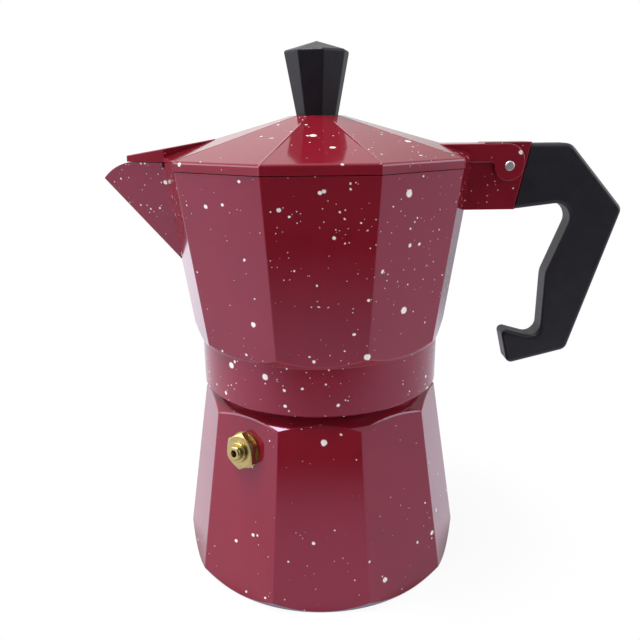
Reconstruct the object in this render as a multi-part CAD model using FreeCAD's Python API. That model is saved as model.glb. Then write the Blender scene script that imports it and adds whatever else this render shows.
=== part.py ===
import FreeCAD, Part
import math
import os

from FreeCAD import Vector

# A stove-top moka pot. Millimetres, +Z up. The origin is on the pot's axis, on the face it stands on.
# The spout points to -X, the handle to +X, and the safety valve sits on a front facet, towards -Y and -X.

# Facets: the boiler, the collector and the lid share one regular outline with a corner on +X
SIDES = 10
EDGE_ROUND = 0.8
TURNED_EDGE_ROUND = 0.7
FLAT = math.cos(math.pi / SIDES)
HALF_SIDE = math.tan(math.pi / SIDES)

# Boiler: a cast cup with a turned foot, which narrows to a conical shoulder and a round threaded neck
BOILER_FOOT_R = 45.5
SHOULDER_WIDTH = 5.1
BOILER_BODY_H = 53.6
BOILER_WALL = 3.4
BOILER_FLOOR = 3.2
FOOT_TRIM = 0.5
FOOT_ANGLE = math.radians(36.0)
BOILER_FLOOR_ROUND = 6.0
SHOULDER_ANGLE = math.radians(36.0)
INNER_SHOULDER_DROP = 2.0
NECK_R = 32.0
NECK_WALL = 3.4
NECK_CHAMFER = 0.8

# Screw joint between boiler and collector: the solids are plain, with room left for the thread form.
# Screwed tight, it stops with the boiler's facets a little out of line with the collector's.
THREAD_DEPTH = 0.9
THREAD_CLEARANCE = 0.3
THREAD_ENGAGEMENT = 9.0
COLLAR_GAP = 1.1
BOILER_TURN = math.radians(-1.4)

# Coffee funnel: a spun basket with a stem that dips into the water
FUNNEL_CLEARANCE = 0.4
FUNNEL_WALL = 0.9
FUNNEL_FLANGE_T = 0.9
FUNNEL_BASKET_H = 17.0
FUNNEL_CONE_DROP = 7.0
FUNNEL_STEM_R = 5.0
FUNNEL_STEM_LIFT = 3.0
FUNNEL_LEDGE = 1.7

# Perforated plates: one lies in the basket, one is held under the collector
PLATE_T = 0.6
PLATE_HOLE_R = 0.8
PLATE_HOLE_PITCH = 4.6
PLATE_RINGS = 5
PLATE_CLEARANCE = 0.1

# Gasket under the collector
GASKET_T = 2.8
GASKET_BAND = 6.0
GASKET_CLEARANCE = 0.6

# Collector: faceted jug above a round collar
COLLAR_WALL = 3.4
COLLAR_CHAMFER = 0.6
WAIST_RISE = 1.1
WAIST_ANGLE = math.radians(45.0)
WAIST_STEP = 2.36
COLLECTOR_RIM_R = 46.2
COLLECTOR_H = 51.0
COLLECTOR_WALL = 2.6
COLLECTOR_FLOOR = 4.0
CHAMBER_INSET = 2.1
CHAMBER_H = 2.0

# Column that brings the coffee up into the collector
COLUMN_SPIGOT_R = 5.0
COLUMN_FLANGE_R = 8.5
COLUMN_FLANGE_T = 2.0
COLUMN_FOOT_R = 6.6
COLUMN_TOP_R = 4.8
COLUMN_H = 34.0
COLUMN_BORE_R = 3.2
COLUMN_CAP = 3.4
OUTLET_R = 1.7
OUTLET_DROP = 5.2

# Spout: a keeled beak on the corner at -X
SPOUT_DROP = 28.0
SPOUT_REACH = 17.1
SPOUT_TIP_DROP = 3.4
SPOUT_HALF_W = 8.15
SPOUT_WALL = 1.6
SPOUT_LIP_RISE = 1.3
SPOUT_LIP_RUN = 8.4
SPOUT_LIP_BULGE = 0.75

# Lug on the corner at +X, which carries the lid's hinge and the handle
LUG_HALF_W = 4.0
LUG_TOP_REACH = 16.1
LUG_BOTTOM_REACH = 12.25
LUG_RISE = 5.8
LUG_DROP = 13.6
LUG_ROUND = 0.7
TANG_HALF_W = 2.2
TANG_LENGTH = 9.0
TANG_H = 10.0
TANG_CLEARANCE = 0.15

# Lid hinge: the lid's ears lie outside the lug, and a pin runs through all three
PIN_REACH = 9.3
PIN_RISE = -0.8
PIN_R = 1.4
PIN_CLEARANCE = 0.05
PIN_PROUD = 0.25
EAR_R = 4.4
EAR_T = 1.8
EAR_CLEARANCE = 0.2
EAR_TOP_ROUND = 5.0
EAR_FOOT_ROUND = 1.0
EAR_EDGE_ROUND = 0.4
ARM_RISE = 5.5
TONGUE_R = 9.6
TONGUE_CLEARANCE = 0.4

# Lid: a shallow faceted roof with a skirt, a cover over the spout and two hinge ears
LID_OVERHANG = 0.3
LID_GAP = 0.2
LID_SKIRT_H = 2.5
LID_RISE = 11.0
LID_SEAT_R = 7.6
LID_WALL = 1.7
LID_ROUND = 0.8
LID_SIDE_CLEARANCE = 0.4
COVER_REACH = 8.9
COVER_GAP = 0.2
COVER_END_T = 1.7
COVER_RISE = 4.6
COVER_POINT_R = 28.0
COVER_POINT_ROUND = 1.5
COVER_EDGE_ROUND = 0.35
RAMP_LENGTH = 12.0

# Knob and the fastener that holds it from inside the lid
KNOB_SIDES = 8
KNOB_FOOT_R = 6.2
KNOB_TOP_R = 9.5
KNOB_H = 17.4
KNOB_CROWN = 2.7
KNOB_ROUND = 0.7
KNOB_TURN = math.radians(-80.0)
INSERT_R = 3.2
INSERT_H = 9.0
SCREW_R = 2.0
SCREW_HEAD_R = 3.7
SCREW_HEAD_T = 2.3
SCREW_SLOT_W = 0.9
SCREW_SLOT_D = 1.1
SCREW_CLEARANCE = 0.2
WASHER_R = 5.2
WASHER_T = 0.8

# Handle: outline corners as (out from the rim's corner, up from the rim, corner radius)
HANDLE_ROUND = 1.4
HANDLE_TOP_STEP = 0.45
HANDLE_OUTLINE = [
    (27.8, LUG_RISE - HANDLE_TOP_STEP, 4.0),
    (44.85, -13.8, 2.8),
    (32.0, -58.2, 2.8),
    (13.65, -62.9, 1.8),
    (10.75, -51.0, 1.5),
    (23.45, -54.6, 3.5),
    (23.45, -33.5, 7.0),
    (31.75, -11.3, 4.6),
]

# Screw that holds the handle to the lug's tang, from below
HANDLE_SCREW_REACH = 20.5
HANDLE_SCREW_R = 1.25
HANDLE_SCREW_HEAD_R = 2.3
HANDLE_SCREW_HEAD_T = 1.8
HANDLE_SCREW_GRIP = 6.0
HANDLE_SCREW_SINK = 0.6

# Safety valve, along the normal of its facet
VALVE_ANGLE = math.radians(234.0)
VALVE_Z = 45.5
VALVE_SHANK_R = 4.0
VALVE_HOLE_CLEARANCE = 0.1
VALVE_INNER_L = 7.0
VALVE_WASHER_R = 5.3
VALVE_WASHER_T = 0.5
VALVE_HEX_AF = 9.5
VALVE_HEX_T = 2.3
VALVE_HEX_CHAMFER = 0.5
VALVE_CHAMBER_R = 2.5
VALVE_SEAT_T = 1.4
VALVE_INLET_R = 1.2
CAP_SPIGOT_L = 2.0
CAP_COLLAR_R = 2.9
CAP_COLLAR_T = 1.0
CAP_NOSE_R = 2.1
CAP_NOSE_L = 1.2
CAP_HOLE_R = 1.05
PLUNGER_HEAD_R = 2.2
PLUNGER_HEAD_T = 1.0
PLUNGER_STEM_R = 0.75
PLUNGER_SHORT = 1.3
SPRING_MEAN_R = 1.75
SPRING_WIRE_R = 0.2
SPRING_TURNS = 5
SPRING_END_GAP = 0.05

# Cutting shapes run past the faces they cut by this much
OVERCUT = 1.0

# Levels, stacked from the foot upwards
SHOULDER_TOP_Z = BOILER_BODY_H + SHOULDER_WIDTH * math.tan(SHOULDER_ANGLE)
COLLAR_BOTTOM_Z = SHOULDER_TOP_Z + COLLAR_GAP
NECK_TOP_Z = COLLAR_BOTTOM_Z + THREAD_ENGAGEMENT
FLANGE_TOP_Z = NECK_TOP_Z + FUNNEL_FLANGE_T
GASKET_TOP_Z = FLANGE_TOP_Z + GASKET_T
CEILING_Z = GASKET_TOP_Z + PLATE_T
FLOOR_Z = CEILING_Z + COLLECTOR_FLOOR
WAIST_Z = CEILING_Z + WAIST_RISE
RIM_Z = WAIST_Z + COLLECTOR_H
LID_Z = RIM_Z + LID_GAP
LID_EDGE_Z = LID_Z + LID_SKIRT_H
SEAT_Z = LID_EDGE_Z + LID_RISE
SEAT_UNDER_Z = SEAT_Z - LID_WALL
SPOUT_TOP_Z = RIM_Z + SPOUT_LIP_RISE

# Radii and places that several pieces share
NECK_BORE_R = NECK_R - NECK_WALL
BOILER_SHOULDER_R = NECK_R + SHOULDER_WIDTH
COLLAR_BORE_R = NECK_R + THREAD_DEPTH + THREAD_CLEARANCE
COLLAR_R = COLLAR_BORE_R + COLLAR_WALL
COLLECTOR_WAIST_R = COLLAR_R + WAIST_STEP
GASKET_R = COLLAR_BORE_R - GASKET_CLEARANCE
CHAMBER_R = GASKET_R - GASKET_BAND - CHAMBER_INSET
LID_R = COLLECTOR_RIM_R + LID_OVERHANG
BASKET_R = NECK_BORE_R - FUNNEL_CLEARANCE
BASKET_INNER_R = BASKET_R - FUNNEL_WALL
PIN_X = COLLECTOR_RIM_R + PIN_REACH
PIN_Z = RIM_Z + PIN_RISE
EAR_INNER_Y = LUG_HALF_W + EAR_CLEARANCE
EAR_OUTER_Y = EAR_INNER_Y + EAR_T
LUG_TOP_Z = RIM_Z + LUG_RISE
LUG_BOTTOM_Z = RIM_Z - LUG_DROP
LUG_TOP_X = COLLECTOR_RIM_R + LUG_TOP_REACH
LUG_BOTTOM_X = COLLECTOR_RIM_R + LUG_BOTTOM_REACH
LUG_LEAN = (LUG_TOP_X - LUG_BOTTOM_X) / (LUG_TOP_Z - LUG_BOTTOM_Z)
TANG_Z = (LUG_TOP_Z + LUG_BOTTOM_Z) / 2
TANG_END_X = (LUG_TOP_X + LUG_BOTTOM_X) / 2 + TANG_LENGTH
HANDLE_SCREW_X = COLLECTOR_RIM_R + HANDLE_SCREW_REACH
CAP_SEAT_U = VALVE_WASHER_T + VALVE_HEX_T
PLUNGER_SEAT_U = VALVE_SEAT_T - VALVE_INNER_L
SPRING_LOW_U = PLUNGER_SEAT_U + PLUNGER_HEAD_T
SPRING_HIGH_U = CAP_SEAT_U - CAP_SPIGOT_L
FAR = 200.0


def boiler_corner_r(z):
    """Corner radius of the boiler's facets at height z."""
    return BOILER_FOOT_R - (BOILER_FOOT_R - BOILER_SHOULDER_R) * z / BOILER_BODY_H


def collector_corner_r(z):
    """Corner radius of the collector's facets at height z."""
    return COLLECTOR_WAIST_R + (COLLECTOR_RIM_R - COLLECTOR_WAIST_R) * (z - WAIST_Z) / COLLECTOR_H


def polygon(radius, z, sides=SIDES, turn=0.0):
    """Corner points of a regular polygon at height z, the first one turned from +X."""
    angles = [turn + 2 * math.pi * k / sides for k in range(sides)]
    return [Vector(radius * math.cos(a), radius * math.sin(a), z) for a in angles]


def flat_face(points):
    return Part.Face(Part.makePolygon(points + points[:1]))


def closed(faces):
    """Solid bounded by flat faces, each with its corners anticlockwise as seen from outside."""
    shell = Part.makeShell(faces)
    shell.sewShape()
    return Part.makeSolid(shell)


def frustum(low, high):
    """Solid between two polygons with the same number of corners, both anticlockwise seen from above."""
    sides = [flat_face([low[k - 1], low[k], high[k], high[k - 1]]) for k in range(len(low))]
    return closed([flat_face(low[::-1]), flat_face(high)] + sides)


def pyramid(apex, base):
    """Solid between an apex and a base whose corners are anticlockwise seen from outside."""
    sides = [flat_face([base[k], base[k - 1], apex]) for k in range(len(base))]
    return closed([flat_face(base)] + sides)


def faceted(r_low, z_low, r_high, z_high, turn=0.0):
    return frustum(polygon(r_low, z_low, SIDES, turn), polygon(r_high, z_high, SIDES, turn))


def upright_edges(solid):
    """Edges that run from the bottom of a solid to its top."""
    box = solid.BoundBox
    return [e for e in solid.Edges if e.BoundBox.ZLength > 0.9 * box.ZLength]


def edges_at(solid, z):
    return [e for e in solid.Edges if abs(e.BoundBox.ZMin - z) < 1e-6 and abs(e.BoundBox.ZMax - z) < 1e-6]


def turned_edges(solid, r, z, growth):
    """Edges where a cone cuts facets; its radius is r at height z and widens by growth times the height."""
    found = []
    for edge in solid.Edges:
        middle = edge.valueAt((edge.FirstParameter + edge.LastParameter) / 2)
        off_cone = math.hypot(middle.x, middle.y) - r - growth * (middle.z - z)
        level = edge.BoundBox.ZLength < 1e-6
        seam = isinstance(edge.Curve, Part.Line)
        if abs(off_cone) < 1e-4 and not level and not seam:
            found.append(edge)
    return found


def cylinder(radius, z_low, z_high):
    return Part.makeCylinder(radius, z_high - z_low, Vector(0, 0, z_low))


def tube(outer_r, inner_r, z_low, z_high):
    return cylinder(outer_r, z_low, z_high).cut(cylinder(inner_r, z_low, z_high))


def block(x_low, x_high, half_y, z_low, z_high):
    return Part.makeBox(x_high - x_low, 2 * half_y, z_high - z_low, Vector(x_low, -half_y, z_low))


def cross_cylinder(radius, x, z, y_low, y_high):
    """Cylinder along Y."""
    return Part.makeCylinder(radius, y_high - y_low, Vector(x, y_low, z), Vector(0, 1, 0))


def rounded_wire(corners, y=0.0):
    """Closed wire in an XZ plane through (x, z, radius) corners, with tangent arcs at the rounded ones."""
    points = [Vector(c[0], y, c[1]) for c in corners]
    stops = []
    for k, corner in enumerate(corners):
        point = points[k]
        radius = corner[2] if len(corner) > 2 else 0.0
        if not radius:
            stops.append((point, None, point))
            continue
        back = (points[k - 1] - point).normalize()
        ahead = (points[(k + 1) % len(points)] - point).normalize()
        half = back.getAngle(ahead) / 2
        inward = (back + ahead).normalize()
        reach = radius / math.tan(half)
        middle = point + inward * (radius / math.sin(half) - radius)
        stops.append((point + back * reach, middle, point + ahead * reach))
    edges = []
    for k, (start, middle, end) in enumerate(stops):
        if middle is not None:
            edges.append(Part.Arc(start, middle, end).toShape())
        following = stops[(k + 1) % len(stops)][0]
        if (following - end).Length > 1e-7:
            edges.append(Part.LineSegment(end, following).toShape())
    return Part.Wire(edges)


def revolved(corners):
    """Solid of revolution about Z from (r, z, corner radius) points."""
    return Part.Face(rounded_wire(corners)).revolve(Vector(0, 0, 0), Vector(0, 0, 1), 360)


def extruded(corners, half_y):
    """Prism along Y from (x, z, corner radius) points, centred on y = 0."""
    return Part.Face(rounded_wire(corners, -half_y)).extrude(Vector(0, 2 * half_y, 0))


def perforated(plate, z_low, z_high):
    """Plate with one hole in the middle and rings of holes round it."""
    holes = [cylinder(PLATE_HOLE_R, z_low - OVERCUT, z_high + OVERCUT)]
    for ring in range(1, PLATE_RINGS):
        for k in range(6 * ring):
            angle = math.pi * k / (3 * ring)
            place = Vector(math.cos(angle), math.sin(angle), 0) * (ring * PLATE_HOLE_PITCH)
            holes.append(holes[0].translated(place))
    return plate.cut(holes)


def boiler():
    body = faceted(BOILER_FOOT_R, 0, boiler_corner_r(SHOULDER_TOP_Z), SHOULDER_TOP_Z, BOILER_TURN)
    body = body.makeFillet(EDGE_ROUND, upright_edges(body))
    outer_r = BOILER_FOOT_R + OVERCUT
    foot_r = BOILER_FOOT_R * FLAT - FOOT_TRIM
    turned = revolved([
        (0, 0),
        (foot_r, 0),
        (outer_r, (outer_r - foot_r) / math.tan(FOOT_ANGLE)),
        (outer_r, BOILER_BODY_H - (outer_r - BOILER_SHOULDER_R) * math.tan(SHOULDER_ANGLE)),
        (NECK_R, SHOULDER_TOP_Z),
        (0, SHOULDER_TOP_Z),
    ])
    body = body.common(turned)
    foot_edges = turned_edges(body, foot_r, 0, math.tan(FOOT_ANGLE))
    shoulder_edges = turned_edges(body, BOILER_SHOULDER_R, BOILER_BODY_H, -1 / math.tan(SHOULDER_ANGLE))
    body = body.makeFillet(TURNED_EDGE_ROUND, foot_edges + shoulder_edges)
    neck = revolved([
        (0, BOILER_BODY_H),
        (NECK_R, BOILER_BODY_H),
        (NECK_R, NECK_TOP_Z - NECK_CHAMFER),
        (NECK_R - NECK_CHAMFER, NECK_TOP_Z),
        (0, NECK_TOP_Z),
    ])
    inner_z = BOILER_BODY_H - INNER_SHOULDER_DROP
    inner_r = boiler_corner_r(inner_z) * FLAT - BOILER_WALL
    bore_z = inner_z + (inner_r - NECK_BORE_R) * math.tan(SHOULDER_ANGLE)
    cavity = revolved([
        (0, BOILER_FLOOR),
        (boiler_corner_r(BOILER_FLOOR) * FLAT - BOILER_WALL, BOILER_FLOOR, BOILER_FLOOR_ROUND),
        (inner_r, inner_z),
        (NECK_BORE_R, bore_z),
        (NECK_BORE_R, NECK_TOP_Z + OVERCUT),
        (0, NECK_TOP_Z + OVERCUT),
    ])
    hole = on_valve_axis(cylinder(VALVE_SHANK_R + VALVE_HOLE_CLEARANCE, -2 * VALVE_INNER_L, VALVE_INNER_L))
    return body.fuse(neck).cut(cavity).cut(hole).removeSplitter()


def coffee_funnel():
    flange_r = NECK_R - NECK_CHAMFER
    ledge_z = NECK_TOP_Z - FUNNEL_BASKET_H
    stem_z = ledge_z - FUNNEL_CONE_DROP
    stem_bore_r = FUNNEL_STEM_R - FUNNEL_WALL
    tip_z = BOILER_FLOOR + FUNNEL_STEM_LIFT
    return revolved([
        (stem_bore_r, tip_z),
        (FUNNEL_STEM_R, tip_z),
        (FUNNEL_STEM_R, stem_z),
        (BASKET_R, ledge_z - FUNNEL_WALL, 2 * FUNNEL_WALL),
        (BASKET_R, NECK_TOP_Z),
        (flange_r, NECK_TOP_Z),
        (flange_r, FLANGE_TOP_Z),
        (BASKET_INNER_R, FLANGE_TOP_Z, FUNNEL_WALL),
        (BASKET_INNER_R, ledge_z + FUNNEL_WALL),
        (BASKET_INNER_R - FUNNEL_LEDGE, ledge_z + FUNNEL_WALL),
        (stem_bore_r, stem_z + FUNNEL_WALL),
    ])


def funnel_plate():
    low = NECK_TOP_Z - FUNNEL_BASKET_H + FUNNEL_WALL
    return perforated(cylinder(BASKET_INNER_R - PLATE_CLEARANCE, low, low + PLATE_T), low, low + PLATE_T)


def gasket():
    return tube(GASKET_R, GASKET_R - GASKET_BAND, FLANGE_TOP_Z, GASKET_TOP_Z)


def filter_plate():
    return perforated(cylinder(GASKET_R, GASKET_TOP_Z, CEILING_Z), GASKET_TOP_Z, CEILING_Z)


def spout_wedge(z_top, inset):
    """Keeled wedge that grows from the collector's corner up to z_top, moved inwards by inset along X."""
    root_z = RIM_Z - SPOUT_DROP
    root = Vector(-collector_corner_r(root_z), 0, root_z)
    tip = Vector(-COLLECTOR_RIM_R - SPOUT_REACH, 0, RIM_Z - SPOUT_TIP_DROP)
    keel = (tip - root) * ((z_top - root_z) / (tip.z - root_z))
    side_x = -COLLECTOR_RIM_R + SPOUT_HALF_W * HALF_SIDE
    growth = (z_top - root_z) / SPOUT_DROP
    left = (Vector(side_x, -SPOUT_HALF_W, RIM_Z) - root) * growth
    right = Vector(left.x, -left.y, left.z)
    inner = Vector(SPOUT_HALF_W, 0, z_top - root_z)
    wedge = pyramid(root, [root + keel, root + left, root + inner, root + right])
    return wedge.translated(Vector(inset, 0, 0))


def spout_inset():
    """How far the channel lies behind the beak, so that the side walls come out SPOUT_WALL thick."""
    root_z = RIM_Z - SPOUT_DROP
    root = Vector(-collector_corner_r(root_z), 0, root_z)
    tip = Vector(-COLLECTOR_RIM_R - SPOUT_REACH, 0, RIM_Z - SPOUT_TIP_DROP)
    side = Vector(-COLLECTOR_RIM_R + SPOUT_HALF_W * HALF_SIDE, -SPOUT_HALF_W, RIM_Z)
    normal = (tip - root).cross(side - root).normalize()
    return SPOUT_WALL / abs(normal.x)


def spout_lip():
    """Everything above the beak's lip, which curves down to the tip."""
    tip_x = -COLLECTOR_RIM_R - SPOUT_REACH
    tip_z = RIM_Z - SPOUT_TIP_DROP
    start = Vector(tip_x + SPOUT_LIP_RUN, -FAR, SPOUT_TOP_Z)
    end = Vector(tip_x, -FAR, tip_z)
    across = Vector(tip_z - SPOUT_TOP_Z, 0, SPOUT_LIP_RUN).normalize()
    middle = (start + end) * 0.5 + across * SPOUT_LIP_BULGE
    outside = [end, Vector(-FAR, -FAR, tip_z), Vector(-FAR, -FAR, FAR), Vector(start.x, -FAR, FAR), start]
    edges = [Part.Arc(start, middle, end).toShape()]
    edges += [Part.LineSegment(a, b).toShape() for a, b in zip(outside, outside[1:])]
    return Part.Face(Part.Wire(edges)).extrude(Vector(0, 2 * FAR, 0))


def lug():
    """Block for the hinge and the handle: rounded towards the lid and beside the handle, with a tang."""
    inside_x = COLLECTOR_RIM_R * FLAT - COLLECTOR_WALL
    rim_x = LUG_BOTTOM_X + LUG_LEAN * (RIM_Z - LUG_BOTTOM_Z)
    low = extruded([
        (inside_x, LUG_BOTTOM_Z),
        (LUG_BOTTOM_X, LUG_BOTTOM_Z),
        (rim_x, RIM_Z),
        (inside_x, RIM_Z),
    ], LUG_HALF_W)
    high = extruded([(PIN_X, RIM_Z), (rim_x, RIM_Z), (LUG_TOP_X, LUG_TOP_Z), (PIN_X, LUG_TOP_Z)], LUG_HALF_W)
    knuckle = cross_cylinder(TONGUE_R, PIN_X, PIN_Z, -LUG_HALF_W, LUG_HALF_W)
    knuckle = knuckle.common(block(0, PIN_X, LUG_HALF_W, RIM_Z, LUG_TOP_Z))
    tang = block(LUG_BOTTOM_X - LUG_HALF_W, TANG_END_X, TANG_HALF_W, TANG_Z - TANG_H / 2, TANG_Z + TANG_H / 2)
    body = low.fuse([high, knuckle]).removeSplitter()
    end_edges = [e for e in upright_edges(body) if e.BoundBox.XMin > LUG_BOTTOM_X - 1e-6]
    return body.makeFillet(LUG_ROUND, end_edges).fuse(tang)


def collector():
    body = faceted(COLLECTOR_WAIST_R, WAIST_Z, COLLECTOR_RIM_R, RIM_Z)
    body = body.makeFillet(EDGE_ROUND, upright_edges(body))
    flare = COLLECTOR_RIM_R + OVERCUT
    flare_z = WAIST_Z + (flare - COLLAR_R) * math.tan(WAIST_ANGLE)
    turned = revolved([(0, WAIST_Z), (COLLAR_R, WAIST_Z), (flare, flare_z), (flare, RIM_Z), (0, RIM_Z)])
    body = body.common(turned)
    waist_edges = turned_edges(body, COLLAR_R, WAIST_Z, 1 / math.tan(WAIST_ANGLE))
    body = body.makeFillet(TURNED_EDGE_ROUND, waist_edges)
    cove = COLLECTOR_WAIST_R * FLAT - COLLAR_R
    collar = revolved([
        (0, COLLAR_BOTTOM_Z),
        (COLLAR_R - COLLAR_CHAMFER, COLLAR_BOTTOM_Z),
        (COLLAR_R, COLLAR_BOTTOM_Z + COLLAR_CHAMFER),
        (COLLAR_R, WAIST_Z, cove),
        (COLLAR_R + cove / 2, WAIST_Z + cove / 2 * math.tan(WAIST_ANGLE)),
        (0, WAIST_Z + cove / 2 * math.tan(WAIST_ANGLE)),
    ])
    beak = spout_wedge(SPOUT_TOP_Z, 0).cut(spout_lip())
    lid_room_r = LID_R + LID_SIDE_CLEARANCE
    beak = beak.cut(faceted(lid_room_r, RIM_Z, lid_room_r, SPOUT_TOP_Z + OVERCUT))
    wall = COLLECTOR_WALL / FLAT
    floor_r = collector_corner_r(FLOOR_Z) - wall
    cavity = faceted(floor_r, FLOOR_Z, collector_corner_r(LUG_TOP_Z) - wall, LUG_TOP_Z)
    channel = spout_wedge(SPOUT_TOP_Z + OVERCUT, spout_inset())
    bore = cylinder(COLLAR_BORE_R, COLLAR_BOTTOM_Z, CEILING_Z)
    chamber = revolved([
        (0, CEILING_Z),
        (CHAMBER_R, CEILING_Z),
        (COLUMN_SPIGOT_R, CEILING_Z + CHAMBER_H),
        (COLUMN_SPIGOT_R, FLOOR_Z),
        (0, FLOOR_Z),
    ])
    pin_hole = cross_cylinder(PIN_R, PIN_X, PIN_Z, -LUG_HALF_W, LUG_HALF_W)
    screw_hole = cylinder(HANDLE_SCREW_R, LUG_BOTTOM_Z, TANG_Z - TANG_H / 2 + HANDLE_SCREW_GRIP)
    screw_hole = screw_hole.translated(Vector(HANDLE_SCREW_X, 0, 0))
    body = body.fuse([collar, beak, lug()])
    return body.cut([cavity, channel, bore, chamber, pin_hole, screw_hole]).removeSplitter()


def column():
    spigot_z = CEILING_Z + CHAMBER_H
    flange_z = FLOOR_Z + COLUMN_FLANGE_T
    top_z = FLOOR_Z + COLUMN_H
    body = revolved([
        (COLUMN_BORE_R, spigot_z),
        (COLUMN_SPIGOT_R, spigot_z),
        (COLUMN_SPIGOT_R, FLOOR_Z),
        (COLUMN_FLANGE_R, FLOOR_Z),
        (COLUMN_FOOT_R, flange_z),
        (COLUMN_TOP_R, top_z, COLUMN_CAP / 2),
        (0, top_z),
        (0, top_z - COLUMN_CAP),
        (COLUMN_BORE_R, top_z - COLUMN_CAP),
    ])
    return body.cut(cross_cylinder(OUTLET_R, 0, top_z - OUTLET_DROP, -COLUMN_FOOT_R, COLUMN_FOOT_R))


def handle():
    """Moulded handle with a hooked end, open at the top for the lug's tang."""
    rim_corner = [(COLLECTOR_RIM_R + x, RIM_Z + z, r) for x, z, r in HANDLE_OUTLINE]
    top_z = LUG_TOP_Z - HANDLE_TOP_STEP
    top = (LUG_TOP_X - LUG_LEAN * HANDLE_TOP_STEP, top_z)
    body = extruded([top] + rim_corner + [(LUG_BOTTOM_X, LUG_BOTTOM_Z)], LUG_HALF_W)
    joint = Part.LineSegment(Vector(LUG_BOTTOM_X, 0, LUG_BOTTOM_Z), Vector(top[0], 0, top_z)).toShape()
    long_edges = []
    for edge in body.Edges:
        on_flank = edge.BoundBox.YLength < 1e-6
        middle = edge.valueAt((edge.FirstParameter + edge.LastParameter) / 2)
        at_joint = joint.distToShape(Part.Vertex(middle.x, 0, middle.z))[0] < 1e-6
        if on_flank and not at_joint:
            long_edges.append(edge)
    body = body.makeFillet(HANDLE_ROUND, long_edges)
    room = TANG_CLEARANCE
    half_h = TANG_H / 2 + room
    socket = block(0, TANG_END_X + room, TANG_HALF_W + room, TANG_Z - half_h, TANG_Z + half_h)
    seat_z = handle_screw_seat_z()
    shank = cylinder(HANDLE_SCREW_R + SCREW_CLEARANCE, LUG_BOTTOM_Z, TANG_Z)
    mouth_z = seat_z - HANDLE_SCREW_HEAD_T - HANDLE_SCREW_SINK - OVERCUT
    head = cylinder(HANDLE_SCREW_HEAD_R + SCREW_CLEARANCE, mouth_z, seat_z)
    bolt_room = shank.fuse(head).translated(Vector(HANDLE_SCREW_X, 0, 0))
    return body.cut([socket, bolt_room])


def handle_screw_seat_z():
    """Bottom of the counterbore in the arm's lower face, over the screw's head."""
    arm_low = RIM_Z + HANDLE_OUTLINE[-1][1]
    share = HANDLE_SCREW_REACH - LUG_BOTTOM_REACH
    slope = (arm_low - LUG_BOTTOM_Z) / (HANDLE_OUTLINE[-1][0] - LUG_BOTTOM_REACH)
    return LUG_BOTTOM_Z + slope * share + HANDLE_SCREW_HEAD_T + HANDLE_SCREW_SINK


def pan_screw(shank_r, head_r, head_t, length):
    """Slotted screw that points up: head below z = 0, shank above it."""
    head = revolved([(0, -head_t), (head_r, -head_t, head_t / 2), (head_r, 0), (0, 0)])
    slot = block(-FAR, FAR, SCREW_SLOT_W / 2, -FAR, SCREW_SLOT_D - head_t)
    return head.cut(slot).fuse(cylinder(shank_r, 0, length)).removeSplitter()


def handle_screw():
    seat_z = handle_screw_seat_z()
    tip_z = TANG_Z - TANG_H / 2 + HANDLE_SCREW_GRIP
    screw = pan_screw(HANDLE_SCREW_R, HANDLE_SCREW_HEAD_R, HANDLE_SCREW_HEAD_T, tip_z - seat_z)
    return screw.translated(Vector(HANDLE_SCREW_X, 0, seat_z))


def hinge_pin():
    end = EAR_OUTER_Y + PIN_PROUD
    pin = cross_cylinder(PIN_R, PIN_X, PIN_Z, -end, end)
    rims = [e for e in pin.Edges if e.BoundBox.YLength < 1e-6]
    return pin.makeChamfer(PIN_PROUD, rims)


def spout_cover():
    """Wedge on the lid that roofs the spout, and narrows to a rounded point on the lid's ridge."""
    low_z = SPOUT_TOP_Z + COVER_GAP
    top_z = low_z + COVER_END_T
    end_x = -COLLECTOR_RIM_R - COVER_REACH
    point_x = -COVER_POINT_R
    side = extruded([(end_x, low_z), (end_x, top_z), (point_x, top_z + COVER_RISE), (point_x, low_z)], FAR)
    section = spout_wedge(SPOUT_TOP_Z, 0)
    corners = sorted((v.Point for v in section.Vertexes if abs(v.Z - SPOUT_TOP_Z) < 1e-6), key=lambda p: p.x)
    keel = corners[0]
    root = Vector(corners[1].x, abs(corners[1].y), 0)
    end_y = root.y * (keel.x - end_x) / (keel.x - root.x)
    half = [Vector(end_x, end_y, 0), root]
    plan = half + [Vector(point_x, 0, 0)] + [Vector(p.x, -p.y, 0) for p in reversed(half)]
    wedge = side.common(flat_face(plan).extrude(Vector(0, 0, FAR)))
    wedge = wedge.makeFillet(COVER_POINT_ROUND, [e for e in wedge.Edges if e.BoundBox.XMin > point_x - 1e-6])
    return wedge.makeFillet(COVER_EDGE_ROUND, [e for e in wedge.Edges if e.BoundBox.ZMin > top_z - 1e-6])


def ears():
    """Two hinge ears, still in one piece: plates round the pin with arms that run up onto the lid."""
    arm_x = LID_R - RAMP_LENGTH
    arm_z = RIM_Z + ARM_RISE
    plates = extruded([
        (arm_x, LID_Z),
        (arm_x, arm_z),
        (PIN_X + EAR_R, arm_z, EAR_TOP_ROUND),
        (PIN_X + EAR_R, PIN_Z - EAR_R, EAR_R),
        (PIN_X - EAR_R, PIN_Z - EAR_R, EAR_R),
        (PIN_X - EAR_R, LID_Z, EAR_FOOT_ROUND),
    ], EAR_OUTER_Y)
    rims = [e for e in plates.Edges if e.BoundBox.YLength < 1e-6 and e.BoundBox.XMax > arm_x + 1e-6]
    return plates.makeFillet(EAR_EDGE_ROUND, rims)


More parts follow.
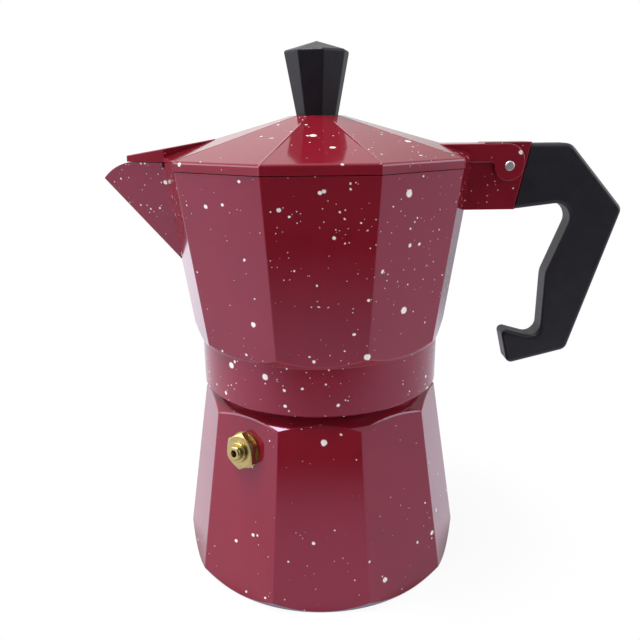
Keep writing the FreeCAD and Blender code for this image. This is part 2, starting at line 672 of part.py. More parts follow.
def lid():
    skirt = faceted(LID_R, LID_Z, LID_R, LID_EDGE_Z)
    roof = faceted(LID_R, LID_EDGE_Z, LID_SEAT_R, SEAT_Z)
    shell = skirt.fuse(roof).removeSplitter()
    ridges = [e for e in shell.Edges if LID_Z + 1e-6 < e.CenterOfMass.z < SEAT_Z - 1e-6]
    shell = shell.makeFillet(LID_ROUND, ridges)
    wall = LID_WALL / FLAT
    inner_r = LID_R - wall
    hollow = faceted(inner_r, LID_Z, inner_r, LID_EDGE_Z - LID_WALL)
    hollow = hollow.fuse(faceted(inner_r, LID_EDGE_Z - LID_WALL, LID_SEAT_R, SEAT_UNDER_Z))
    body = shell.fuse([spout_cover(), ears()])
    tongue_room = cross_cylinder(TONGUE_R + TONGUE_CLEARANCE, PIN_X, PIN_Z, -EAR_INNER_Y, EAR_INNER_Y)
    pin_hole = cross_cylinder(PIN_R + PIN_CLEARANCE, PIN_X, PIN_Z, -EAR_OUTER_Y, EAR_OUTER_Y)
    screw_hole = cylinder(SCREW_R + SCREW_CLEARANCE, SEAT_UNDER_Z - OVERCUT, SEAT_Z + OVERCUT)
    return body.cut([hollow, tongue_room, pin_hole, screw_hole]).removeSplitter()


def knob():
    shoulder_z = SEAT_Z + KNOB_H
    low = polygon(KNOB_FOOT_R, SEAT_Z, KNOB_SIDES, KNOB_TURN)
    high = polygon(KNOB_TOP_R, shoulder_z, KNOB_SIDES, KNOB_TURN)
    crown = pyramid(Vector(0, 0, shoulder_z + KNOB_CROWN), high[::-1])
    body = frustum(low, high).fuse(crown).removeSplitter()
    rims = edges_at(body, shoulder_z)
    sides = [e for e in body.Edges if e.BoundBox.ZMin < SEAT_Z + 1e-6 and e.BoundBox.ZLength > KNOB_H / 2]
    body = body.makeFillet(KNOB_ROUND, rims + sides)
    return body.cut(cylinder(INSERT_R, SEAT_Z, SEAT_Z + INSERT_H))


def knob_insert():
    return tube(INSERT_R, SCREW_R, SEAT_Z, SEAT_Z + INSERT_H)


def knob_washer():
    return tube(WASHER_R, SCREW_R + SCREW_CLEARANCE, SEAT_UNDER_Z - WASHER_T, SEAT_UNDER_Z)


def knob_screw():
    head_z = SEAT_UNDER_Z - WASHER_T
    screw = pan_screw(SCREW_R, SCREW_HEAD_R, SCREW_HEAD_T, SEAT_Z + INSERT_H - WASHER_T - head_z)
    return screw.translated(Vector(0, 0, head_z))


def on_valve_axis(shape):
    """Place a shape built along +Z from z = 0 on the valve's facet, pointing outwards."""
    angle = VALVE_ANGLE + BOILER_TURN
    taper = (BOILER_FOOT_R - BOILER_SHOULDER_R) * FLAT / BOILER_BODY_H
    flat_r = boiler_corner_r(VALVE_Z) * FLAT
    out = Vector(math.cos(angle), math.sin(angle), taper).normalize()
    along = Vector(-math.sin(angle), math.cos(angle), 0)
    place = Vector(flat_r * math.cos(angle), flat_r * math.sin(angle), VALVE_Z)
    turn = FreeCAD.Rotation(along, out.cross(along), out, "ZXY")
    placed = shape.copy()
    placed.Placement = FreeCAD.Placement(place, turn).multiply(shape.Placement)
    return placed


def valve_washer():
    inner_r = VALVE_SHANK_R + VALVE_HOLE_CLEARANCE
    return on_valve_axis(tube(VALVE_WASHER_R, inner_r, 0, VALVE_WASHER_T))


def valve_body():
    corner_r = VALVE_HEX_AF / 2 / math.cos(math.pi / 6)
    low = polygon(corner_r, VALVE_WASHER_T, 6, math.pi / 2)
    high = polygon(corner_r, CAP_SEAT_U, 6, math.pi / 2)
    crown = revolved([
        (0, VALVE_WASHER_T),
        (corner_r, VALVE_WASHER_T),
        (corner_r, CAP_SEAT_U - VALVE_HEX_CHAMFER),
        (corner_r - 2 * VALVE_HEX_CHAMFER, CAP_SEAT_U),
        (0, CAP_SEAT_U),
    ])
    hexagon = frustum(low, high).common(crown)
    body = hexagon.fuse(cylinder(VALVE_SHANK_R, -VALVE_INNER_L, VALVE_WASHER_T))
    chamber = cylinder(VALVE_CHAMBER_R, PLUNGER_SEAT_U, CAP_SEAT_U)
    inlet = cylinder(VALVE_INLET_R, -VALVE_INNER_L, PLUNGER_SEAT_U)
    return on_valve_axis(body.cut([chamber, inlet]).removeSplitter())


def valve_cap():
    collar_u = CAP_SEAT_U + CAP_COLLAR_T
    nose_u = collar_u + CAP_NOSE_L
    return on_valve_axis(revolved([
        (CAP_HOLE_R, SPRING_HIGH_U),
        (VALVE_CHAMBER_R, SPRING_HIGH_U),
        (VALVE_CHAMBER_R, CAP_SEAT_U),
        (CAP_COLLAR_R, CAP_SEAT_U),
        (CAP_COLLAR_R, collar_u, CAP_COLLAR_T / 3),
        (CAP_NOSE_R, collar_u),
        (CAP_NOSE_R, nose_u, CAP_NOSE_R / 4),
        (CAP_HOLE_R, nose_u),
    ]))


def valve_plunger():
    nose_u = CAP_SEAT_U + CAP_COLLAR_T + CAP_NOSE_L
    return on_valve_axis(revolved([
        (0, PLUNGER_SEAT_U),
        (PLUNGER_HEAD_R, PLUNGER_SEAT_U),
        (PLUNGER_HEAD_R, SPRING_LOW_U),
        (PLUNGER_STEM_R, SPRING_LOW_U),
        (PLUNGER_STEM_R, nose_u - PLUNGER_SHORT, PLUNGER_STEM_R / 2),
        (0, nose_u - PLUNGER_SHORT),
    ]))


def spring_point(turn, low, pitch):
    angle = 2 * math.pi * turn
    return Vector(SPRING_MEAN_R * math.cos(angle), SPRING_MEAN_R * math.sin(angle), low + pitch * turn)


def valve_spring():
    """Open coil between the plunger's head and the cap: each quarter turn is one arc on the helix."""
    low = SPRING_LOW_U + SPRING_END_GAP + SPRING_WIRE_R
    high = SPRING_HIGH_U - SPRING_END_GAP - SPRING_WIRE_R
    pitch = (high - low) / SPRING_TURNS
    quarters = 4 * SPRING_TURNS
    arcs = []
    for k in range(quarters):
        ends = [spring_point(q / 4, low, pitch) for q in (k, k + 0.5, k + 1)]
        arcs.append(Part.Arc(*ends).toShape())
    path = Part.Wire(arcs)
    start = spring_point(0, low, pitch)
    section = Part.Wire(Part.makeCircle(SPRING_WIRE_R, start, arcs[0].tangentAt(arcs[0].FirstParameter)))
    coil = path.makePipeShell([section], True, False)
    print("valve spring: least gap between turns %.2f mm" % (pitch - 2 * SPRING_WIRE_R))
    return on_valve_axis(coil)


PIECES = [
    boiler,
    valve_body,
    valve_washer,
    valve_cap,
    valve_plunger,
    valve_spring,
    coffee_funnel,
    funnel_plate,
    gasket,
    filter_plate,
    collector,
    column,
    handle,
    handle_screw,
    hinge_pin,
    lid,
    knob,
    knob_insert,
    knob_washer,
    knob_screw,
]

os.makedirs("parts", exist_ok=True)
for piece in PIECES:
    shape = piece()
    if shape.ShapeType != "Solid" and len(shape.Solids) == 1:
        shape = shape.Solids[0]
    print("%-14s solids %d  valid %s  volume %.1f mm3" % (
        piece.__name__, len(shape.Solids), shape.isValid(), shape.Volume))
    shape.exportStep("parts/%s.step" % piece.__name__)
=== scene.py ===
import math

import bpy
import numpy as np
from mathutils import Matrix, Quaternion, Vector


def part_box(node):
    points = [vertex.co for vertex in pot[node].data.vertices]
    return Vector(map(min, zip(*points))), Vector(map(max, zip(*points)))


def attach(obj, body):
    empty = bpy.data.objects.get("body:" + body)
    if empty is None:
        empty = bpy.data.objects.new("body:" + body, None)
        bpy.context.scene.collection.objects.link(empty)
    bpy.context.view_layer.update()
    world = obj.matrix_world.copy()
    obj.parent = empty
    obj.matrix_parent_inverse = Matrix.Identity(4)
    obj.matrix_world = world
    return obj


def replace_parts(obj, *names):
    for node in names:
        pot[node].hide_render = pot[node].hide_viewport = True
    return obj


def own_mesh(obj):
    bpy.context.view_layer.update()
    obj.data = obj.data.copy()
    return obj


# Stove-top moka pot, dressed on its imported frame. Metres, +Z up, the pot's axis on Z, spout to -X.
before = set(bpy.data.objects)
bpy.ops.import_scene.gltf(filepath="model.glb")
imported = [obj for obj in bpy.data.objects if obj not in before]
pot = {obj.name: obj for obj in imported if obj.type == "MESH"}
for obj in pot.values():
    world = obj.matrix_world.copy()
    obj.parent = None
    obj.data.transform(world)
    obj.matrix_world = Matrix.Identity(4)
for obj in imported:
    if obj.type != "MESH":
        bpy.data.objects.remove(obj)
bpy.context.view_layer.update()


# Boiler: a die-cast aluminium cup, sprayed outside with red enamel that is flicked with white droplets.
# The inside, the threaded neck and the turned foot stay bare metal.
def add(tree, kind, inputs=(), **settings):
    """Add a shader node: settings are its properties, inputs its sockets as values or other sockets."""
    made = tree.nodes.new(kind)
    for name, value in settings.items():
        setattr(made, name, value)
    for key, value in dict(inputs).items():
        if isinstance(value, bpy.types.NodeSocket):
            tree.links.new(value, made.inputs[key])
        else:
            made.inputs[key].default_value = value
    return made


def calc(tree, operation, *values):
    """One step of arithmetic in a pattern."""
    return add(tree, "ShaderNodeMath", dict(enumerate(values)), operation=operation).outputs[0]


def vector(tree, operation, *values):
    """One step of vector arithmetic in a pattern, as a node's outputs."""
    return add(tree, "ShaderNodeVectorMath", dict(enumerate(values)), operation=operation).outputs


def span(tree, share, low, high):
    """Value that goes evenly from low, where share is 0, to high, where it is 1."""
    return calc(tree, "MULTIPLY_ADD", share, high - low, low)


def blend(tree, share, first, second):
    """Colour between first and second."""
    return add(tree, "ShaderNodeMix", {0: share, 6: first, 7: second}, data_type="RGBA").outputs[2]


def ramp(tree, value, low, high, to_low=0.0, to_high=1.0):
    """Smooth step of a value, from to_low at low to to_high at high."""
    ends = {"Value": value, "From Min": low, "From Max": high, "To Min": to_low, "To Max": to_high}
    return add(tree, "ShaderNodeMapRange", ends, interpolation_type="SMOOTHSTEP").outputs[0]


def noise(tree, place, scale, detail):
    """Cloudy pattern from 0 to 1, with scale lumps in a metre."""
    lumps = {"Vector": place, "Scale": scale, "Detail": detail}
    return add(tree, "ShaderNodeTexNoise", lumps).outputs["Fac"]


def axes_of(tree, place):
    """X, Y and Z of a place."""
    return add(tree, "ShaderNodeSeparateXYZ", {"Vector": place}).outputs


def off_axis(tree, axes):
    """Distance from the Z axis."""
    y_squared = calc(tree, "POWER", axes[1], 2.0)
    return calc(tree, "SQRT", calc(tree, "MULTIPLY_ADD", axes[0], axes[0], y_squared))


def finish_of(name, **constants):
    """A material with one shader, whose constants are set on its own sockets. Returns the material, its
    tree, the shader and the place on the piece."""
    material = bpy.data.materials.new(name)
    material.use_nodes = True
    tree = material.node_tree
    shader = tree.nodes["Principled BSDF"]
    for socket, value in constants.items():
        shader.inputs[socket.replace("_", " ")].default_value = value
    place = add(tree, "ShaderNodeTexCoord").outputs["Object"]
    return material, tree, shader, place


def relief(tree, shader, height, depth):
    """Raise the surface by height, from 0 to 1, times depth in metres."""
    bump = add(tree, "ShaderNodeBump", {"Height": height, "Distance": depth})
    tree.links.new(bump.outputs["Normal"], shader.inputs["Normal"])


DROPLET_WHITE = (0.86, 0.83, 0.81, 1)
DROPLET_SMALLEST = 0.4
DROPLET_EDGE = 0.25
DROPLET_WOBBLE = 0.0005
DROPLET_SIZES = (
    (0.0092, 0.00122, 1.2),
    (0.0046, 0.00064, 0.9),
    (0.0027, 0.00034, 0.6),
    (0.0016, 0.0002, 0.7),
)


def droplets(tree, place, spacing, largest, share):
    """Round droplets: one point in each cell of space has a ball of its own radius, up to largest, and
    the paint is white where it cuts a ball. Only the given share of the balls, a pattern, is there."""
    cells = add(tree, "ShaderNodeTexVoronoi", {"Vector": place, "Scale": 1 / spacing})
    chance = add(tree, "ShaderNodeSeparateColor", {"Color": cells.outputs["Color"]}).outputs
    reach = largest / spacing
    radius = span(tree, chance[0], DROPLET_SMALLEST * reach, reach)
    inside = calc(tree, "DIVIDE", calc(tree, "SUBTRACT", radius, cells.outputs["Distance"]), radius)
    there = calc(tree, "LESS_THAN", chance[1], share)
    return calc(tree, "MULTIPLY", ramp(tree, inside, 0.0, DROPLET_EDGE), there)


def spatter(tree, place, share, offset):
    """Droplets of the four sizes, each given by spacing, largest radius and how usual it is. They come
    in flicks, on average by the given share, and offset moves them, so that each casting has its own."""
    wobble = add(tree, "ShaderNodeTexNoise", {"Vector": place, "Scale": 900.0, "Detail": 1.0})
    drift = vector(tree, "MULTIPLY_ADD", wobble.outputs["Color"], [DROPLET_WOBBLE] * 3, offset)[0]
    shaken = vector(tree, "ADD", place, drift)[0]
    flicks = noise(tree, shaken, 38.0, 1.0)
    ends = {"Value": flicks, "From Min": 0.3, "From Max": 0.7, "To Max": 2 * share}
    crowd = add(tree, "ShaderNodeMapRange", ends).outputs[0]
    spots = 0.0
    for spacing, largest, usual in DROPLET_SIZES:
        there = calc(tree, "MULTIPLY", crowd, usual)
        spots = calc(tree, "MAXIMUM", spots, droplets(tree, shaken, spacing, largest, there))
    return spots


ENAMEL_RED = (0.2, 0.0075, 0.0175)
ENAMEL_TINT = (0.95, 0.74, 1, 1)
ENAMEL_ROUGHNESS = 0.09
ENAMEL_RELIEF = 0.00006
DROPLET_HEIGHT = 0.9
PEEL_HEIGHT = 0.06
SAND_HEIGHT = 0.25
BEAD_WIDTH = 0.0005
CAST_LIGHT = (0.5, 0.49, 0.48, 1)
CAST_DARK = (0.36, 0.355, 0.35, 1)
HALF_FACET = math.pi / 10


def enamelled(name, painted, share, offset, bead=0.0):
    """Casting with enamel where painted(tree, flat_r, r, axes) is 1, and bare metal elsewhere. flat_r is
    the distance from the axis to the ten-sided outline, r the true radius and axes are X, Y and Z.
    Droplets cover it by the given share from an offset of their own. The enamel gathers in a bead along
    the facets' edges. The heights of beads, droplets, peel and sand are shares of the whole relief."""
    material, tree, shader, place = finish_of(name, IOR=1.55, Specular_Tint=ENAMEL_TINT)
    axes = axes_of(tree, place)
    r = off_axis(tree, axes)
    off_edge = calc(tree, "PINGPONG", calc(tree, "ARCTAN2", axes[1], axes[0]), HALF_FACET)
    off_middle = calc(tree, "SUBTRACT", HALF_FACET, off_edge)
    flat_r = calc(tree, "MULTIPLY", r, calc(tree, "COSINE", off_middle))
    paint = painted(tree, flat_r, r, axes)
    bare = calc(tree, "SUBTRACT", 1.0, paint)
    spots = spatter(tree, place, share, offset)

    tone = span(tree, noise(tree, place, 60.0, 2.0), 0.88, 1.12)
    toned = {0: ENAMEL_RED, "Scale": tone}
    red = add(tree, "ShaderNodeVectorMath", toned, operation="SCALE").outputs[0]
    grain = noise(tree, place, 2600.0, 2.0)
    coat = blend(tree, spots, red, DROPLET_WHITE)
    metal = blend(tree, grain, CAST_DARK, CAST_LIGHT)
    tree.links.new(blend(tree, paint, metal, coat), shader.inputs["Base Color"])
    tree.links.new(bare, shader.inputs["Metallic"])
    bare_roughness = span(tree, grain, 0.28, 0.48)
    smoother = calc(tree, "SUBTRACT", ENAMEL_ROUGHNESS, bare_roughness)
    roughness = calc(tree, "MULTIPLY_ADD", paint, smoother, bare_roughness)
    tree.links.new(roughness, shader.inputs["Roughness"])

    edge_distance = calc(tree, "MULTIPLY", r, calc(tree, "SINE", off_edge))
    edge = ramp(tree, edge_distance, BEAD_WIDTH, 0.0)
    peel = calc(tree, "MULTIPLY", noise(tree, place, 420.0, 1.0), PEEL_HEIGHT)
    gathered = calc(tree, "MULTIPLY_ADD", edge, bead, peel)
    skin = calc(tree, "MULTIPLY_ADD", spots, DROPLET_HEIGHT, gathered)
    sand = calc(tree, "MULTIPLY", grain, SAND_HEIGHT)
    height = calc(tree, "MULTIPLY_ADD", skin, paint, calc(tree, "MULTIPLY", sand, bare))
    relief(tree, shader, height, ENAMEL_RELIEF)
    return material


def dress(node, material):
    """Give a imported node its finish."""
    pot[node].material_slots[0].material = material


BOILER_MIDDLE_R = 0.0407
BOILER_LEAN = 0.149
BOILER_NECK_Z = 0.05725
FOOT_FACE_Z = 0.00005
FOOT_EDGE_R = 0.04272
FOOT_SLOPE = 0.7265
BOILER_SPATTER = (0.071, 0.142, 0.092)


def boiler_painted(tree, flat_r, r, axes):
    """Outside the middle of the wall, below the neck, and inside the cone of the turned foot."""
    z = axes[2]
    outside = calc(tree, "GREATER_THAN", calc(tree, "MULTIPLY_ADD", z, BOILER_LEAN, r), BOILER_MIDDLE_R)
    below_neck = calc(tree, "LESS_THAN", z, BOILER_NECK_Z)
    off_floor = calc(tree, "GREATER_THAN", z, FOOT_FACE_Z)
    off_bevel = calc(tree, "LESS_THAN", calc(tree, "MULTIPLY_ADD", z, -FOOT_SLOPE, r), FOOT_EDGE_R)
    wall = calc(tree, "MULTIPLY", outside, below_neck)
    return calc(tree, "MULTIPLY", wall, calc(tree, "MULTIPLY", off_floor, off_bevel))


dress("boiler", enamelled("boiler_enamel", boiler_painted, share=0.28, offset=BOILER_SPATTER))


# Thread: a rounded ridge rolled round the boiler's neck, and its fellow inside the collector's collar.
# Both have the same pitch and lie half a pitch apart, so they pass each other as the pot is unscrewed.
def surface(name, points, closed):
    """Skin of a bar whose sections are the rows of points, each anticlockwise seen along the bar's way.
    The bar is closed into a ring, or else it has a flat face on each end."""
    rows, columns = points.shape[:2]
    index = np.arange(rows * columns).reshape(rows, columns)
    u = np.arange(rows if closed else rows - 1)[:, None]
    v = np.arange(columns)[None, :]
    next_u = (u + 1) % rows
    next_v = (v + 1) % columns
    quads = np.stack([index[u, v], index[next_u, v], index[next_u, next_v], index[u, next_v]], -1)
    ends = [] if closed else [index[0].tolist(), index[-1, ::-1].tolist()]
    mesh = bpy.data.meshes.new(name)
    mesh.from_pydata(points.reshape(-1, 3).tolist(), [], quads.reshape(-1, 4).tolist() + ends)
    mesh.shade_smooth()
    piece = bpy.data.objects.new(name, mesh)
    bpy.context.scene.collection.objects.link(piece)
    return piece


FULL_TURN = 2 * math.pi
NECK_R = 0.032
NECK_CREST_R = 0.0326
COLLAR_R = 0.0332
COLLAR_CREST_R = 0.03265
THREAD_LOW_Z = 0.0592
THREAD_TURNS = 2.4
THREAD_PITCH = 0.003
THREAD_HALF_WIDTH = 0.00085
THREAD_ROOT = 0.0001


def thread_ridge(name, wall_r, crest_r, phase):
    """Ridge on a round wall: a bell-shaped profile, whose flat back lies just inside the wall, is
    carried up a helix of one pitch per turn. It sinks over the last third of a turn at each end."""
    angle = np.linspace(0, FULL_TURN * THREAD_TURNS, int(90 * THREAD_TURNS))[:, None]
    into_wall = np.sign(wall_r - crest_r)
    across = -into_wall * np.linspace(-1, 1, 13)[None, :]
    fade = np.clip(np.minimum(angle, angle[-1] - angle) / (FULL_TURN / 3), 0.2, 1)
    bell = np.maximum(np.cos(across * math.pi / 2), 0) ** 0.8 * np.sin(fade * math.pi / 2)
    root_r = wall_r + into_wall * THREAD_ROOT
    radius = root_r + bell * (crest_r - root_r)
    height = THREAD_LOW_Z + THREAD_PITCH * angle / FULL_TURN + across * THREAD_HALF_WIDTH
    ring = angle + phase
    points = np.stack([radius * np.cos(ring), radius * np.sin(ring), height + 0 * ring], -1)
    return surface(name, points, closed=False)


def lathe_rings(tree, place, scale):
    """Fine rings about the Z axis of a place, which go by height and by radius together."""
    axes = axes_of(tree, place)
    along = calc(tree, "ADD", off_axis(tree, axes), axes[2])
    marks = {"W": along, "Scale": scale, "Detail": 2.0}
    return add(tree, "ShaderNodeTexNoise", marks, noise_dimensions="1D").outputs["Fac"]


def mottled(tree, shader, mottle, dark, light, smooth, rough):
    """Colour and roughness by a pattern: dark and smooth where it is 0, light and rough where 1."""
    tree.links.new(blend(tree, mottle, dark, light), shader.inputs["Base Color"])
    tree.links.new(span(tree, mottle, smooth, rough), shader.inputs["Roughness"])


DARKER = 0.78
ROUGHNESS_SPREAD = 0.08


def turned_metal(name, colour, roughness):
    """Bare metal, a little uneven in colour and gloss, with the fine rings that a lathe leaves."""
    material, tree, shader, place = finish_of(name, Metallic=1.0)
    dark = tuple(DARKER * c for c in colour[:3]) + (1,)
    smooth = roughness - ROUGHNESS_SPREAD
    rough = roughness + ROUGHNESS_SPREAD
    mottled(tree, shader, noise(tree, place, 700.0, 2.0), dark, colour, smooth, rough)
    relief(tree, shader, lathe_rings(tree, place, 5000.0), 0.000006)
    return material


turned_aluminium = turned_metal("turned_aluminium", (0.66, 0.66, 0.67, 1), 0.3)
neck_thread = thread_ridge("neck_thread", NECK_R, NECK_CREST_R, phase=0.0)
neck_thread.data.materials.append(turned_aluminium)
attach(neck_thread, "boiler")
collar_thread = thread_ridge("collar_thread", COLLAR_R, COLLAR_CREST_R, phase=math.pi)
collar_thread.data.materials.append(turned_aluminium)
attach(collar_thread, "collector")


# Safety valve: hexagon, washer, end cap and plunger are turned from brass bar on the valve's own axis.
# The brass is bright, with fine turning marks and an uneven mottle of darker brown.
VALVE_PLACE = (-0.022164, -0.028989, 0.0455)
VALVE_OUT = Vector((-0.600740, -0.785735, 0.147418))
BRASS_DARK = (0.36, 0.28, 0.1, 1)
BRASS_LIGHT = (0.55, 0.45, 0.2, 1)


def turned_brass():
    """Brass with the lathe's rings round the valve's axis."""
    material, tree, shader, place = finish_of("turned_brass", Metallic=1.0)
    mottled(tree, shader, noise(tree, place, 900.0, 3.0), BRASS_DARK, BRASS_LIGHT, 0.22, 0.36)
    lay = VALVE_OUT.to_track_quat("Z", "Y").inverted().to_euler()
    about = vector(tree, "SUBTRACT", place, VALVE_PLACE)[0]
    own = add(tree, "ShaderNodeMapping", {"Vector": about, "Rotation": lay}).outputs[0]
    relief(tree, shader, lathe_rings(tree, own, 6000.0), 0.000015)
    return material


valve_brass = turned_brass()
for node in ("valve_body", "valve_washer", "valve_cap", "valve_plunger"):
    dress(node, valve_brass)


# Valve spring: a coil of fine steel wire between the plunger's head and the cap, with closed end turns.
# It is squeezed towards the cap when the plunger lifts.
STEEL_DARK = (0.42, 0.42, 0.43, 1)
STEEL_LIGHT = (0.64, 0.64, 0.65, 1)


def drawn_steel():
    """Steel with the faint mottle of drawn wire."""
    material, tree, shader, place = finish_of("drawn_steel", Metallic=1.0)
    mottle = noise(tree, place, 1500.0, 3.0)
    mottled(tree, shader, mottle, STEEL_DARK, STEEL_LIGHT, 0.2, 0.4)
    relief(tree, shader, mottle, 0.00001)
    return material


SPRING_LOW = -0.0046
SPRING_HIGH = 0.0008
SPRING_R = 0.00175
WIRE_R = 0.0002
OPEN_TURNS = 4


def spring_coil(name):
    """Round wire on a helix about the valve's axis. The first and the last turn climb by one wire only,
    so that they lie closed, and the open turns between them climb evenly."""
    turns = np.linspace(0, OPEN_TURNS + 2, 40 * (OPEN_TURNS + 2))
    climb = SPRING_HIGH - SPRING_LOW - 6 * WIRE_R
    closed_turns = np.clip(turns, 0, 1) + np.clip(turns - OPEN_TURNS - 1, 0, 1)
    open_share = np.clip((turns - 1) / OPEN_TURNS, 0, 1)
    height = (SPRING_LOW + WIRE_R + 2 * WIRE_R * closed_turns + climb * open_share)[:, None]
    angle = FULL_TURN * turns[:, None]
    around = np.linspace(0, FULL_TURN, 10, endpoint=False)[None, :]
    radius = SPRING_R + WIRE_R * np.cos(around)
    level = height + WIRE_R * np.sin(around)
    side = Vector((0, 0, 1)).cross(VALVE_OUT).normalized()
    axes = np.array([side, VALVE_OUT.cross(side), VALVE_OUT])
    own = np.array([radius * np.cos(angle), radius * np.sin(angle), level])
    points = np.array(VALVE_PLACE) + np.einsum("kuv,kc->uvc", own, axes)
    return surface(name, points, closed=False)


steel = drawn_steel()
coil = spring_coil("valve_coil")
coil.data.materials.append(steel)
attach(coil, "boiler")
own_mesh(coil)
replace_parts(coil, "valve_spring")


# Coffee funnel, funnel plate and filter plate: spun and punched aluminium sheet with faint rings.
# The basket drops into the boiler's neck, and the gasket holds the filter plate up under the collector.
spun_aluminium = turned_metal("spun_aluminium", (0.72, 0.72, 0.73, 1), 0.2)
for node in ("coffee_funnel", "funnel_plate", "filter_plate"):
    dress(node, spun_aluminium)


# Gasket: a flat ring of cream silicone with rounded edges, pressed into the collar under the filter
# plate. It is moulded, so its faces are slightly matt.
CREAM_DARK = (0.66, 0.62, 0.53, 1)
CREAM_LIGHT = (0.78, 0.75, 0.67, 1)
SEAL_INNER_R = 0.0266
SEAL_EDGE_R = 0.0005


def seal_silicone():
    """Matt silicone, a little uneven in colour."""
    material, tree, shader, place = finish_of("seal_silicone", IOR=1.41, Roughness=0.55)
    mottle = noise(tree, place, 300.0, 3.0)
    tree.links.new(blend(tree, mottle, CREAM_DARK, CREAM_LIGHT), shader.inputs["Base Color"])
    relief(tree, shader, noise(tree, place, 4000.0, 2.0), 0.00002)
    return material


def flat_ring(name, node, inner_r, edge_r):
    """Ring in a node's box: its section is as high as the box and reaches from inner_r to the box's
    side, and its four corners are quarter circles of edge_r. The section is turned about Z."""
    low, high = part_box(node)
    quarter = np.linspace(0, math.pi / 2, 7)
    turn = np.concatenate([quarter + k * math.pi / 2 for k in range(4)])
    corner = np.repeat([[1, 1], [0, 1], [0, 0], [1, 0]], len(quarter), axis=0)
    core_r = inner_r + edge_r + corner[:, 0] * (high.x - inner_r - 2 * edge_r)
    core_z = low.z + edge_r + corner[:, 1] * (high.z - low.z - 2 * edge_r)
    profile_r = (core_r + edge_r * np.cos(turn))[None, :]
    profile_z = (core_z + edge_r * np.sin(turn))[None, :]
    angle = np.linspace(0, FULL_TURN, 144, endpoint=False)[:, None]
    points = np.stack([profile_r * np.cos(angle), profile_r * np.sin(angle), profile_z + 0 * angle], -1)
    return surface(name, points, closed=True)


seal = flat_ring("seal_ring", "gasket", SEAL_INNER_R, SEAL_EDGE_R)
seal.data.materials.append(seal_silicone())
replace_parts(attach(seal, "gasket"), "gasket")


# Collector: the ten-sided jug on its round collar, with the beak and the hinge lug cast on.
# It carries the most droplets; inside and in the collar's thread the casting is bare.
JUG_MIDDLE_R = 0.0259
JUG_LEAN = 0.135
COLLAR_MIDDLE_R = 0.035
COLLAR_TOP_Z = 0.0745
BEAK_START_R = 0.0273
BEAK_ROOT = (-0.042225, 0.0, 0.095805)
BEAK_SIDE = (-0.325, 0.9038, -0.2785)
BEAK_WALL = 0.0016
COLLECTOR_SPATTER = (0.087, 0.174, 0.113)


def collector_painted(tree, flat_r, r, axes):
    """Outside the middle of the jug's wall above the waist, and of the collar's wall below it. In the
    beak, which starts beyond the facets, outside the middle of its two leaning side walls."""
    x, y, z = axes[:3]
    beyond = calc(tree, "MULTIPLY_ADD", z, -JUG_LEAN, flat_r)
    jug = calc(tree, "GREATER_THAN", beyond, JUG_MIDDLE_R)
    off_bore = calc(tree, "GREATER_THAN", r, COLLAR_MIDDLE_R)
    collar = calc(tree, "MULTIPLY", off_bore, calc(tree, "LESS_THAN", z, COLLAR_TOP_Z))
    half = add(tree, "ShaderNodeCombineXYZ", {0: x, 1: calc(tree, "ABSOLUTE", y), 2: z}).outputs[0]
    from_root = vector(tree, "SUBTRACT", half, BEAK_ROOT)[0]
    depth = vector(tree, "DOT_PRODUCT", from_root, BEAK_SIDE)["Value"]
    behind_wall = calc(tree, "LESS_THAN", depth, -BEAK_WALL / 2)
    past_facets = calc(tree, "GREATER_THAN", beyond, BEAK_START_R)
    in_beak = calc(tree, "MULTIPLY", past_facets, calc(tree, "LESS_THAN", x, 0.0))
    off_channel = calc(tree, "SUBTRACT", 1.0, calc(tree, "MULTIPLY", in_beak, behind_wall))
    return calc(tree, "MULTIPLY", calc(tree, "MAXIMUM", jug, collar), off_channel)


collector_enamel = enamelled("collector_enamel", collector_painted, share=0.9, offset=COLLECTOR_SPATTER)
dress("collector", collector_enamel)


# Column: a cast aluminium pipe with a domed cap and two outlets, through which the coffee wells up.
# Its spigot is pressed into the collector's floor.
dress("column", turned_metal("cast_column", (0.60, 0.60, 0.61, 1), 0.36))


# Handle and knob: black bakelite mouldings with a satin skin and the faint grain of the mould.
# The handle is screwed to the lug's tang, the knob is held from inside the lid.
BAKELITE_DARK = (0.0125, 0.012, 0.017, 1)
BAKELITE_LIGHT = (0.0205, 0.0195, 0.027, 1)


def moulded_bakelite(name, ior):
    """Black moulding, a little uneven in colour and gloss."""
    material, tree, shader, place = finish_of(name, IOR=ior)
    mottled(tree, shader, noise(tree, place, 260.0, 4.0), BAKELITE_DARK, BAKELITE_LIGHT, 0.32, 0.46)
    relief(tree, shader, noise(tree, place, 2400.0, 2.0), 0.00002)
    return material


dress("handle", moulded_bakelite("handle_bakelite", 1.38))
dress("knob", moulded_bakelite("knob_bakelite", 1.31))


# Hinge pin, screws and washer: steel, the pin plated. The knob's insert is brass, moulded into the knob.
# The pin is pressed into the lug. One screw holds the handle from below, and one the knob from inside
# the lid.
for node in ("handle_screw", "knob_screw", "knob_washer"):
    dress(node, steel)
dress("hinge_pin", turned_metal("plated_pin", (0.82, 0.78, 0.78, 1), 0.5))
dress("knob_insert", turned_metal("insert_brass", (0.72, 0.53, 0.22, 1), 0.25))


# Lid: a faceted roof with a skirt, the cover over the spout and the two hinge ears, cast in one piece.
# It is enamelled outside and bare underneath.
ROOF_MIDDLE_Z = 0.13886
ROOF_SLOPE = 0.305
SKIRT_MIDDLE_R = 0.0434
LID_SPATTER = (0.093, 0.186, 0.121)
LID_BEAD = 1.3


def lid_painted(tree, flat_r, r, axes):
    """Above the middle of the roof's thickness, and outside the middle of the skirt."""
    levelled = calc(tree, "MULTIPLY_ADD", flat_r, ROOF_SLOPE, axes[2])
    roof = calc(tree, "GREATER_THAN", levelled, ROOF_MIDDLE_Z)
    return calc(tree, "MAXIMUM", roof, calc(tree, "GREATER_THAN", flat_r, SKIRT_MIDDLE_R))


